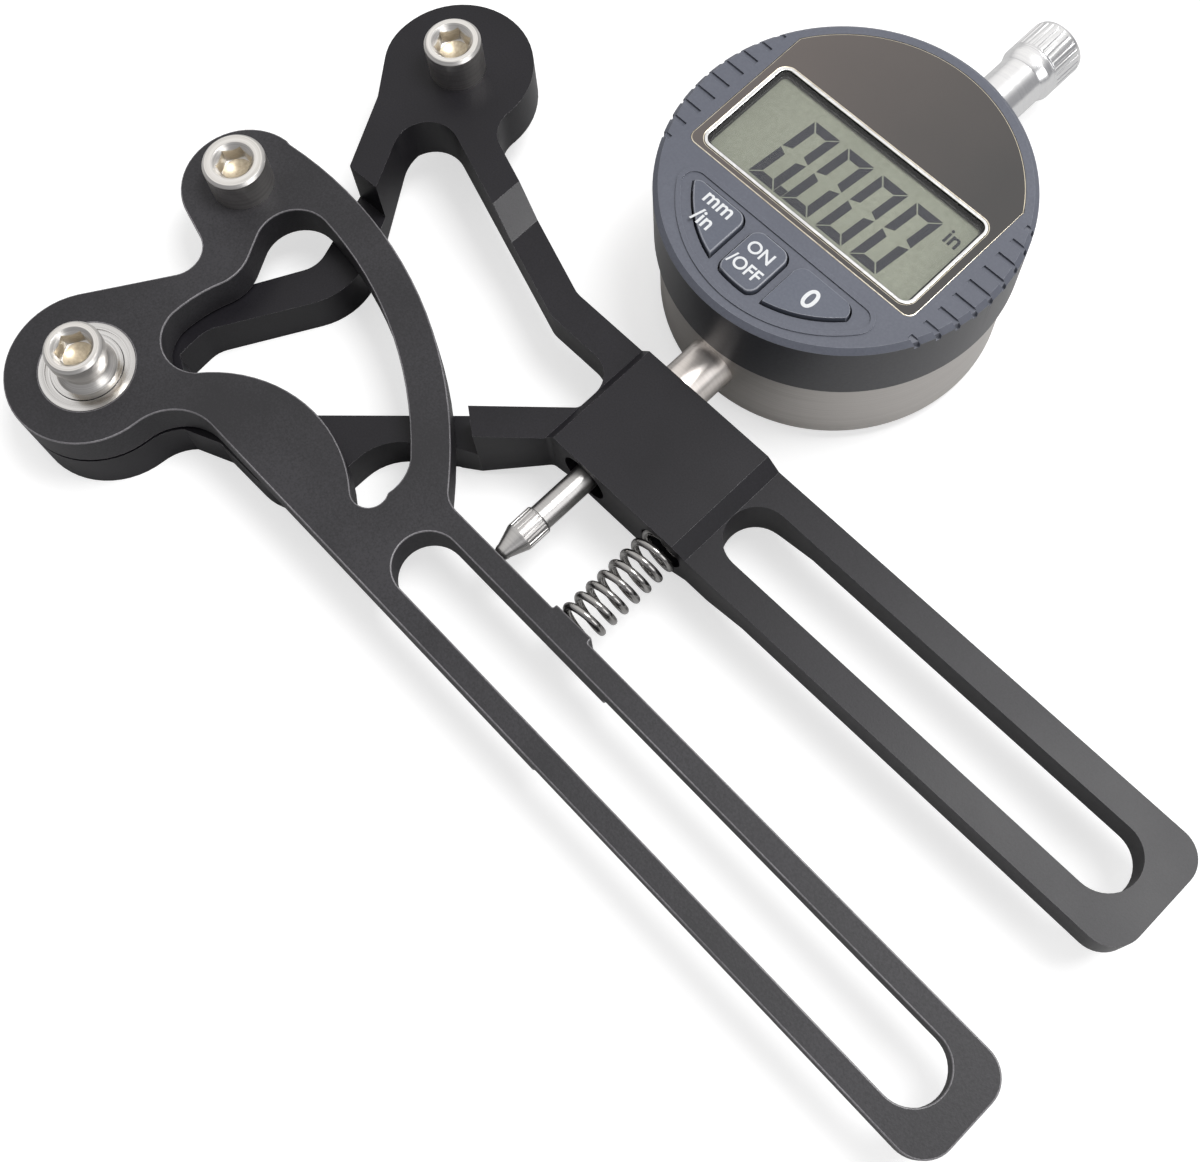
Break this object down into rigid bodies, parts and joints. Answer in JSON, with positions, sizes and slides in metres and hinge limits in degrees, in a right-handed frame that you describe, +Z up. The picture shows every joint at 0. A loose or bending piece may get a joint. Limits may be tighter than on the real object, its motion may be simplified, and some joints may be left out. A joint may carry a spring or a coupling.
{
  "type": "spoke tension meter",
  "caption": "Hand-held spoke tension meter: slotted frame and lever handles, pivot with bearing, return spring, spoke posts and a digital plunger gauge.",
  "frame": {"origin": "on the lever's pivot axis, at the flat underside of the frame's boss", "axes": "+X along the handles, +Y along the gauge's stem towards its cap, +Z up through the display"},
  "size_m": [0.1825, 0.1599, 0.03],
  "materials": {
    "black_anodised": "satin black anodised aluminium",
    "stainless": "bright turned stainless steel",
    "spring_steel": "bright drawn wire",
    "case_steel": "brushed nickel",
    "chrome_plate": "bright plated",
    "bronze": "plain bearing bronze",
    "bezel_plastic": "moulded, fine satin",
    "button_plastic": "moulded, satin",
    "plate_gloss": "dark mirror gloss",
    "frame_silver": "plated trim",
    "clear_window": "clear",
    "display_grey": "liquid crystal grey-green",
    "rubber_pad": "soft",
    "board_green": "circuit board"
  },
  "bodies": {
    "frame": {"main_frame": "black_anodised", "frame_post": "stainless", "pivot_post": "stainless", "pivot_spacer": "stainless", "bearing_inner_ring": "stainless", "bearing_balls": "stainless", "return_spring": "spring_steel", "stem_clamp_screw": "stainless", "gauge_stem": "stainless", "lower_bush": "bronze", "upper_bush": "bronze", "guide_rail": "case_steel", "sensor_board": "board_green", "spindle_spring": "spring_steel", "gauge_case": "case_steel", "case_back": "case_steel", "back_screws": "stainless", "upper_tube": "chrome_plate", "dust_cap": "chrome_plate", "turning_ring": "stainless"},
    "lever": {"lever_arm": "black_anodised", "lever_post": "stainless", "bearing_outer_ring": "stainless", "bearing_shield": "stainless"},
    "spindle_rod": {"spindle": "stainless", "contact_point": "stainless", "scale_strip": "board_green", "guide_pin": "stainless"},
    "bezel": {"gauge_bezel": "bezel_plastic", "bezel_base": "bezel_plastic", "display_plate": "plate_gloss", "window_frame": "frame_silver", "display_window": "clear_window", "display_panel": "display_grey", "circuit_board": "board_green", "button_pad": "rubber_pad", "coin_cell": "stainless", "battery_door": "bezel_plastic"},
    "unit_key": {"unit_button": "button_plastic"},
    "power_key": {"power_button": "button_plastic"},
    "zero_key": {"zero_button": "button_plastic"}
  },
  "joints": [
    {"name": "lever_pivot", "type": "hinge", "parent": "frame", "child": "lever", "pos_m": [0, 0, 0.0108], "axis": [0, 0, 1], "range_deg": [0, 6], "stiffness_Nm_per_rad": 25, "deforming": ["return_spring"]},
    {"name": "spindle_slide", "type": "slide", "parent": "frame", "child": "spindle_rod", "axis": [0, 1, 0], "range_m": [0, 0.0071], "deforming": ["spindle_spring"]},
    {"name": "bezel_turn", "type": "hinge", "parent": "frame", "child": "bezel", "pos_m": [0.066, 0.0944, 0.0245], "axis": [0, 0, 1], "range_deg": [-135, 135]},
    {"name": "unit_press", "type": "slide", "parent": "bezel", "child": "unit_key", "axis": [0, 0, -1], "range_m": [0, 0.0004], "stiffness_N_per_m": 1500},
    {"name": "power_press", "type": "slide", "parent": "bezel", "child": "power_key", "axis": [0, 0, -1], "range_m": [0, 0.0004], "stiffness_N_per_m": 1500},
    {"name": "zero_press", "type": "slide", "parent": "bezel", "child": "zero_key", "axis": [0, 0, -1], "range_m": [0, 0.0004], "stiffness_N_per_m": 1500}
  ],
  "couplings": [
    {"joint": "spindle_slide", "follows": "lever_pivot", "m_per_rad": 0.067}
  ]
}
